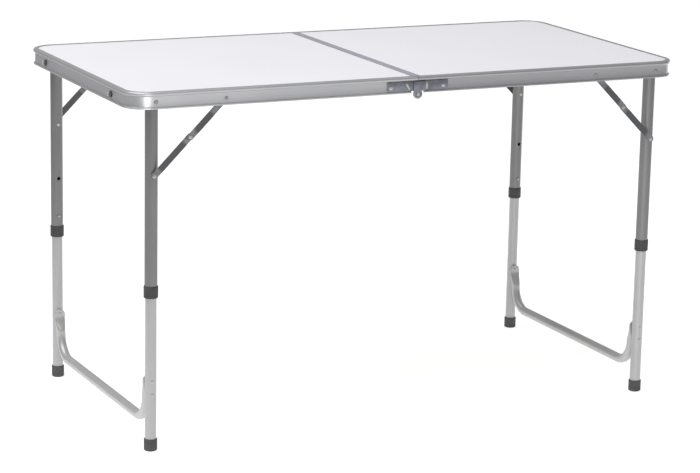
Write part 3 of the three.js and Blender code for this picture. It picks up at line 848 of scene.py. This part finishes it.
def linkMesh(name, sign, side, pin, depth, flatAtPin):
    start = Vector((pin[0], pin[1]))
    stop = Vector((elbowX, elbowZ))
    run = (stop - start).normalized()
    across = Vector((-run.y, run.x))
    length = (stop - start).length / mm
    round_ = brace["width"] / 2
    back = depth + brace["depth"]
    plateFront = back - brace["plate"]
    ease = 0.25
    stations = [-round_ * math.cos(step / 10 * math.pi / 2) for step in range(10)]
    stations += [length * step / 60 for step in range(61)]
    stations += [length + round_ * math.sin(step / 10 * math.pi / 2) for step in range(1, 11)]
    shares = [-1, -0.97, -0.92, -0.86, -0.80, -0.75, -0.5, 0, 0.5, 0.75, 0.80, 0.86, 0.92, 0.97, 1]
    shape = bmesh.new()
    # pressed holds how much painted shade each point of the link gets
    pressed = shape.verts.layers.float.new("pressed")

    def vertex(s, t, inward):
        flat = start + (run * s + across * t) * mm
        return shape.verts.new((sign * flat.x, side * (faceY - inward * mm), flat.y))

    frontRows = []
    backRows = []
    for s in stations:
        over = max(0, -s, s - length)
        half = math.sqrt(max(0, round_ ** 2 - over ** 2))
        fromPin = smooth(flatAtPin, flatAtPin + brace["ramp"], s)
        risen = fromPin * smooth(brace["flatEnd"], brace["flatEnd"] + brace["ramp"], length - s)
        frontRow = []
        for share in shares:
            edge = smooth(0.74, 0.84, abs(share)) * risen
            corner = 1 - smooth(0.93, 1.0, abs(share))
            inward = plateFront - (brace["depth"] - brace["plate"]) * edge + ease * (1 - corner)
            made = vertex(s, half * share, inward)
            # painted shade: full in the middle of the channel, weaker on its raised rims
            made[pressed] = risen * (1 - 0.55 * smooth(0.8, 0.9, abs(share)))
            frontRow.append(made)
        frontRows.append(frontRow)
        backRow = []
        for share in shares:
            corner = smooth(0.93, 1.0, abs(share))
            made = vertex(s, half * share, back - ease * corner)
            # the back face of the channel gets the full painted shade
            made[pressed] = risen
            backRow.append(made)
        backRows.append(backRow)
    for row in range(len(stations) - 1):
        for index in range(len(shares) - 1):
            for rows in (frontRows, backRows):
                near, far = rows[row], rows[row + 1]
                shape.faces.new((near[index], near[index + 1], far[index + 1], far[index]))
        for index in (0, len(shares) - 1):
            shape.faces.new((frontRows[row][index], frontRows[row + 1][index],
                             backRows[row + 1][index], backRows[row][index]))
    return settled(shape, name, 40)


def makeBrace(end, sign, sideName, side):
    corner = f"{end}_{sideName}"
    upperBody = corner + "_brace_upper_link"
    lowerBody = corner + "_brace_lower_link"
    outward = (0, side, 0)
    inward = (0, -side, 0)

    def at(x, z, depth):
        return Vector((sign * x, side * (faceY - depth * mm), z))

    upperPlate = brace["upperDepth"] + brace["depth"] - brace["plate"]
    lowerPlate = brace["lowerDepth"] + brace["depth"] - brace["plate"]
    upperBack = brace["upperDepth"] + brace["depth"]
    lowerBack = brace["lowerDepth"] + brace["depth"]
    for half, pin, flatAtPin in (
        ("upper", (upperPinX, legPivotZ), brace["frameFlat"]),
        ("lower", (legX, lowerPinZ), brace["flatEnd"]),
    ):
        name = f"{corner}_{half}_strap"
        strap = linkMesh(name, sign, side, pin, brace[half + "Depth"], flatAtPin)
        addPiece(name, strap, [zincSteel], f"{corner}_brace_{half}_link", "zinc_steel",
                 f"{corner}_{half}_brace")
    addPiece(corner + "_elbow_head", rivetHeads([(at(elbowX, elbowZ, upperPlate + 0.1), outward, 3.9)]),
             [brightSteel], upperBody, "bright_steel")
    lowerHeads = [
        (at(elbowX, elbowZ, lowerBack - 0.1), inward, 3.75),
        (at(legX, lowerPinZ, lowerPlate + 0.1), outward, 3.8),
    ]
    addPiece(corner + "_lower_link_heads", rivetHeads(lowerHeads), [brightSteel], lowerBody, "bright_steel")
    washerProfile = [(0, upperBack - 0.1), (5, upperBack - 0.1), (5, 9.4), (0, 9.4)]
    washer = turnedMesh(corner + "_elbow_washer", washerProfile, at(elbowX, elbowZ, 0), inward, 2)
    addPiece(corner + "_elbow_washer", washer, [brightSteel], upperBody, "bright_steel")
    bossEnd = brace["legFace"] - 0.3
    bossProfile = [(0, lowerBack - 0.1), (4.5, lowerBack - 0.1), (4.5, bossEnd), (0, bossEnd)]
    boss = turnedMesh(corner + "_leg_boss", bossProfile, at(legX, lowerPinZ, 0), inward, 2)
    addPiece(corner + "_leg_boss", boss, [brightSteel], lowerBody, "bright_steel")


for end, sign in ends.items():
    for sideName, side in sides.items():
        makeBrace(end, sign, sideName, side)
print("braces pressed")


# Through rivets, as depths in from the face line: the leg pivots and the braces' frame pins.

legPivot = [
    (0, 2.6), (1.3, 2.5, 0.6), (2.3, 2.35, 1), (4.2, 3, 0.9), (4.6, 3.9, 0.1), (3, 4, 0.1), (3, 5.9, 0.1),
    (5, 5.9, 0.4), (5, 15.2, 0.4), (3, 15.2, 0.1), (3, 40.9, 0.1), (4.5, 40.9, 0.4), (4.1, 41.9, 0.6),
    (0, 42.3),
]
bracePin = [
    (0, 2.9), (1.1, 2.8, 0.5), (2, 2.6, 0.8), (3.7, 3.1, 0.8), (4, 3.9, 0.1), (2.2, 4, 0.1), (2.2, 8.5, 0.1),
    (3.4, 8.5, 0.2), (3, 9.1, 0.4), (0, 9.2),
]
legPinTail = 544


for end, sign in ends.items():
    tails = []
    for sideName, side in sides.items():
        corner = f"{end}_{sideName}"
        for name, profile, x, replaced in (
            ("_leg_pin", legPivot, legX, "_leg_pivot_rivet"),
            ("_frame_pin", bracePin, upperPinX, "_brace_rivet"),
        ):
            pin = turnedMesh(corner + name, profile, (sign * x, side * faceY, legPivotZ), (0, -side, 0))
            addPiece(corner + name, pin, [dullRivet], end + "_top", "bright_steel", corner + replaced)
        tails.append(((sign * legX, side * (legY - 12.3 * mm), legPinTail * mm), (0, -side, 0), 3.4))
    addPiece(end + "_brace_tails", rivetHeads(tails), [brightSteel], end + "_leg_uppers", "bright_steel")
print("pins driven")


# Spring clips: a bent leaf with a push button that looks out through both tubes.

clip = {
    "wide": 6, "height": 349.5,
    # distance from the leg's axis towards the button as negative, height from the button
    "leaf": [(-8.8, 7), (-7.8, 7), (-7.8, -8), (1, -26), (7.6, 2), (8.6, 2), (1.4, -28), (0.4, -28),
             (-8.8, -8.4)],
    "button": [(0, -15.1), (1.4, -15.0, 1), (2.7, -14.2, 1), (3.1, -13.2, 0.6), (3.1, -8, 0.1), (0, -8)],
    "keep": 0.7,
}


def makeClip(end, sign, sideName, side):
    corner = f"{end}_{sideName}"
    shape = bmesh.new()
    height = clip["height"]
    outline = filleted(clip["leaf"], 0.4, 3)
    rings = [[Vector((sign * legX + x * mm, side * (legY + away * mm), (height + rise) * mm))
              for away, rise in outline] for x in (-clip["wide"] / 2, clip["wide"] / 2)]
    skinOver(shape, rings)
    spot = (sign * legX, side * legY, height * mm)
    turned(shape, filleted(clip["button"], 0.3, 4, False), spot, (0, side, 0), 32)
    piece = addPiece(corner + "_button_spring", settled(shape, corner + "_button_spring"), [brightSteel],
                     end + "_leg_lowers", "bright_steel", corner + "_spring_clip")
    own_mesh(piece)


for end, sign in ends.items():
    for sideName, side in sides.items():
        makeClip(end, sign, sideName, side)
print("spring clips set")


# Centre hinges.

hinge = {
    "ease": 0.35, "plateFace": 2.2, "rivetRadius": 4.3,
    "rivets": {"left": [(-59, 686)], "right": [(56, 686)]},
    # the ridges set out below are painted highlights in bright steel, near the left leaf's slanted edge and
    # the right leaf's joggle
    "rib": {"width": 4.4, "rise": 0.8},
    "ribs": {"left": [(-25, 694, -17, 680)], "right": [(20, 694, 20, 680)]},
}
hingePin = [
    (0, -1.0), (1.3, -1.1, 0.6), (2.6, -1.1, 1.2), (4.2, 0.1, 0.5), (2.3, 0.2, 0.1), (2.3, 3.9, 0.1),
    (4.2, 3.9, 0.3), (4.0, 4.9, 0.5), (0, 5.1),
]


# Painted highlights: low rounded ridges of bright steel, each between two points of the leaf's face, near the
# left leaf's slanted edge and the right leaf's joggle.
def paintedHighlightRidges(name, runs, side):
    rib = hinge["rib"]
    shape = bmesh.new()
    for fromX, fromZ, toX, toZ in runs:
        start = Vector((fromX, 0, fromZ))
        run = Vector((toX, 0, toZ)) - start
        across = run.normalized().cross(Vector((0, 1, 0)))
        rings = []
        for step in range(13):
            share = step / 12
            swell = math.sqrt(max(0, 1 - (2 * share - 1) ** 6)) + 0.02
            ring = []
            for turn in range(12):
                angle = turn / 12 * 2 * math.pi
                centre = start + run * share + across * (rib["width"] / 2 * swell * math.cos(angle))
                out = hinge["plateFace"] - rib["rise"] * swell * math.sin(angle)
                ring.append(Vector((centre.x * mm, side * (faceY - out * mm), centre.z * mm)))
            rings.append(ring)
        skinOver(shape, rings)
    return settled(shape, name)


for sideName, side in sides.items():
    for end in ends:
        node = f"{sideName}_hinge_{end}_leaf"
        addPiece(f"{sideName}_{end}_leaf", eased(node, hinge["ease"]), [hingeSteel], end + "_top",
                 "zinc_steel", node)
        y = side * (faceY - (hinge["plateFace"] - 0.05) * mm)
        heads = [((x * mm, y, z * mm), (0, side, 0), hinge["rivetRadius"]) for x, z in hinge["rivets"][end]]
        addPiece(f"{sideName}_{end}_leaf_rivets", rivetHeads(heads, dimple=0.1), [brightSteel], end + "_top",
                 "bright_steel")
        # the ridges are bright steel on the plated leaf: painted highlights
        ribs = paintedHighlightRidges(f"{sideName}_{end}_leaf_ribs", hinge["ribs"][end], side)
        addPiece(f"{sideName}_{end}_leaf_ribs", ribs, [brightSteel], end + "_top", "zinc_steel")
    pin = turnedMesh(sideName + "_hinge_pin", hingePin, (0, side * faceY, hingeSpot.z), (0, -side, 0))
    addPiece(sideName + "_hinge_pin", pin, [brightSteel], "left_top", "bright_steel",
             sideName + "_hinge_rivet")
print("hinges hung")


# Catch studs on the left end: a bright mushroom head standing out of a black seat.

studHead = [
    (0, -4), (1.5, -3.95, 1), (2.9, -3.6, 1.2), (3.8, -2.6, 0.8), (3.7, -1.9, 0.5), (2.2, -1, 0.3),
    (2.2, 6, 0.1), (4, 6, 0.3), (3.8, 6.8, 0.4), (0, 6.9),
]
studSeat = [(2.3, 1.7, 0.2), (5.6, 1.7, 0.5), (6.2, 2.4, 0.4), (6.2, 3.7, 0.2), (2.3, 3.7, 0.1)]

for sideName, side in sides.items():
    spot = (-endX, side * abs(latchSpot.y), latchSpot.z)
    head = turnedMesh(sideName + "_stud_head", studHead, spot, (1, 0, 0))
    addPiece(sideName + "_stud_head", head, [brightSteel], "left_top", "bright_steel",
             sideName + "_catch_stud")
    seat = turnedMesh(sideName + "_stud_seat", studSeat, spot, (1, 0, 0), closed=True)
    addPiece(sideName + "_stud_seat", seat, [darkPlastic], "left_top", "dark_plastic",
             sideName + "_catch_stud")
print("catch studs seated")


# Latches and carrying handle on the right end.

latchPin = [
    (0, -2.1), (1.2, -2.2, 0.5), (2.8, -2.1, 1), (4, -0.9, 0.4), (2.1, -0.9, 0.1), (2.1, 1, 0.1), (4, 1, 0.3),
    (4, 3.7, 0.3), (2.1, 3.7, 0.1), (2.1, 6, 0.1), (4, 6, 0.3), (3.8, 6.8, 0.4), (0, 6.9),
]

for sideName, side in sides.items():
    addPiece(sideName + "_latch_hook_plate", eased(sideName + "_latch", 0.2), [zincSteel],
             sideName + "_latch_hook", "zinc_steel", sideName + "_latch")
    pinSpot = (endX, side * abs(latchSpot.y), latchSpot.z)
    pin = turnedMesh(sideName + "_latch_pin", latchPin, pinSpot, (-1, 0, 0))
    addPiece(sideName + "_latch_pin", pin, [brightSteel], "right_top", "bright_steel",
             sideName + "_latch_rivet")
    addPiece(sideName + "_handle_ear", eased(sideName + "_handle_bracket", 0.5), [darkPlastic], "right_top",
             "dark_plastic", sideName + "_handle_bracket")
    low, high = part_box(sideName + "_handle_bracket")
    footFace = endX - 2.15 * mm
    outermost = max(abs(low.y), abs(high.y)) - 6.5 * mm
    earRivet = ((footFace, side * outermost, handleSpot.z), (1, 0, 0), 3.2)
    addPiece(sideName + "_ear_rivet", rivetHeads([earRivet]), [brightSteel], "right_top", "bright_steel")
addPiece("handle_grip", eased("carry_handle", 1.0, 3), [darkPlastic], "handle_bail", "dark_plastic",
         "carry_handle")
print("end fittings fixed")


# Camera.

cameraSpot = {"lens": 131.61, "place": (-2.2498, -4.6883, 1.5456), "azimuth": -25.6645, "elevation": 13.2775,
              "roll": 1.205}


def makeCamera():
    azimuth = math.radians(cameraSpot["azimuth"])
    elevation = math.radians(cameraSpot["elevation"])
    roll = math.radians(cameraSpot["roll"])
    ahead = Vector((-math.sin(azimuth) * math.cos(elevation), math.cos(azimuth) * math.cos(elevation),
                    -math.sin(elevation)))
    right = ahead.cross(Vector((0, 0, 1))).normalized()
    up = right.cross(ahead)
    rolledRight = right * math.cos(roll) + up * math.sin(roll)
    rolledUp = up * math.cos(roll) - right * math.sin(roll)
    lensData = bpy.data.cameras.new("studioCamera")
    lensData.sensor_width = 36
    lensData.lens = cameraSpot["lens"]
    lensData.clip_end = 200
    camera = placed("studioCamera", lensData)
    turn = Matrix((rolledRight, rolledUp, -ahead)).transposed().to_4x4()
    camera.matrix_world = Matrix.Translation(cameraSpot["place"]) @ turn
    bpy.context.scene.camera = camera


# Floor, light and surroundings.

studio = {
    "floorHalf": 40, "floor": (0.55, 0.55, 0.555, 1), "dusty": (0.545, 0.545, 0.55, 1), "floorGlow": 0.76,
    "overhead": {"size": (4.4, 4.4), "place": (-1.7, -0.4, 4.2), "aim": (-0.2, 0, 0.7), "power": 172},
    "kicker": {"size": (0.28, 0.55), "place": (-1.0, -2.44, 0.22), "aim": (-0.58, -0.28, 0.69), "power": 26},
    "fill": {"size": (0.8, 0.5), "place": (-0.4, -1.9, 0.3), "aim": (0.55, 0, 0.4), "power": 3},
    "side": {"size": (0.9, 1.4), "place": (2.5, 0.9, 0.5), "aim": (0.55, 0, 0.35), "power": 6},
    "skyTint": (0.985, 0.985, 1, 1), "sky": 0.42, "horizon": 0.17, "backHorizon": 0.55, "leftShade": 0.40,
    # the floor glows as painted light so that it reads white under and behind the table, and painted shade
    # darkens it at the left, right front and near left
    "leftFloor": {"across": (1, -0.323), "start": -0.95, "stop": -2.0, "shade": 0.35},
    "rightFloor": {"across": (1, -0.662), "start": 3.15, "stop": 4.3, "shade": 0.4},
    "nearFloor": {"across": (1, -0.323), "start": 0.05, "stop": -0.75, "shade": 0.3,
                  "fromY": -0.95, "toY": -1.5},
}


# Painted shade on the floor's glow: 1 where the floor stays white, lower in the shaded bands.
def floorShade(bench):
    x, y, _ = bench.split(bench.spot("Object", (1, 1, 1)))

    def band(edge, low):
        across = x * edge["across"][0] + y * edge["across"][1]
        return bench.fade(across, edge["start"], edge["stop"], 1.0, low)

    left, right, near = studio["leftFloor"], studio["rightFloor"], studio["nearFloor"]
    shade = band(left, left["shade"])
    shade = shade * band(right, right["shade"])
    nearCorner = (1 - band(near, 0.0)) * (1 - bench.fade(y, near["fromY"], near["toY"], 1.0, 0.0))
    return shade * (1 - nearCorner * (1 - near["shade"]))


def floorRecipe(bench, look):
    speckle = bench.noise(bench.spot("Object", (1, 1, 1)), 30, 3)
    return {
        "Base Color": bench.mixColours(speckle, look["floor"], look["dusty"]),
        "Roughness": 0.9,
        "Specular IOR Level": 0.1,
        # the floor's glow is painted light, darkened in bands by the painted shade of floorShade
        "Emission Color": bench.mixColours(floorShade(bench), (0, 0, 0, 1), (1, 1, 1, 1)),
        "Emission Strength": look["floorGlow"],
    }


def makeFloor():
    half = studio["floorHalf"]
    mesh = bpy.data.meshes.new("studioFloor")
    corners = [(-half, -half, 0), (half, -half, 0), (half, half, 0), (-half, half, 0)]
    mesh.from_pydata(corners, [], [(0, 1, 2, 3)])
    floor = placed("studioFloor", mesh)
    mesh.materials.append(material("studioFloor", floorRecipe, studio))


def areaLight(name):
    setting = studio[name]
    data = bpy.data.lights.new(name + "Softbox", "AREA")
    data.shape = "RECTANGLE"
    data.size, data.size_y = setting["size"]
    data.energy = setting["power"]
    lamp = placed(name + "Softbox", data)
    lamp.location = setting["place"]
    towards = Vector(setting["aim"]) - Vector(setting["place"])
    lamp.rotation_euler = towards.to_track_quat("-Z", "Y").to_euler()
    lamp.visible_camera = False
    return lamp


def lightOnly(lamp, *pieceNames):
    group = bpy.data.collections.new(lamp.name + "Only")
    for pieceName in pieceNames:
        group.objects.link(bpy.data.objects[pieceName])
    lamp.light_linking.receiver_collection = group


def makeSurroundings():
    world = bpy.data.worlds.new("studioWorld")
    bpy.context.scene.world = world
    world.use_nodes = True
    world.node_tree.nodes.clear()
    bench = Bench(world.node_tree)
    direction = bench.add("ShaderNodeTexCoord", {}, {}, "Generated")
    x, back, up = bench.split(direction)
    left = x * -1.0
    horizon = bench.fade(back, 0.1, 0.8, studio["horizon"], studio["backHorizon"])
    height = bench.fade(up, 0.0, 0.75, horizon, studio["sky"])
    shade = bench.fade(left, 0.2, 0.95, 1.0, studio["leftShade"])
    values = {"Color": studio["skyTint"], "Strength": height * shade}
    background = bench.add("ShaderNodeBackground", {}, values)
    bench.add("ShaderNodeOutputWorld", {}, {"Surface": background})


makeCamera()
makeFloor()
lamps = {name: areaLight(name) for name in ("overhead", "kicker", "fill", "side")}
# the kicker draws the bright line on the near corner, and the fill lifts the far pair of legs
lightOnly(lamps["kicker"], "left_edge_moulding")
lightOnly(lamps["fill"], "right_upper_tubes", "right_lower_tubes", "right_collars")
makeSurroundings()
bpy.context.scene.view_settings.view_transform = "Standard"
print("studio lit")
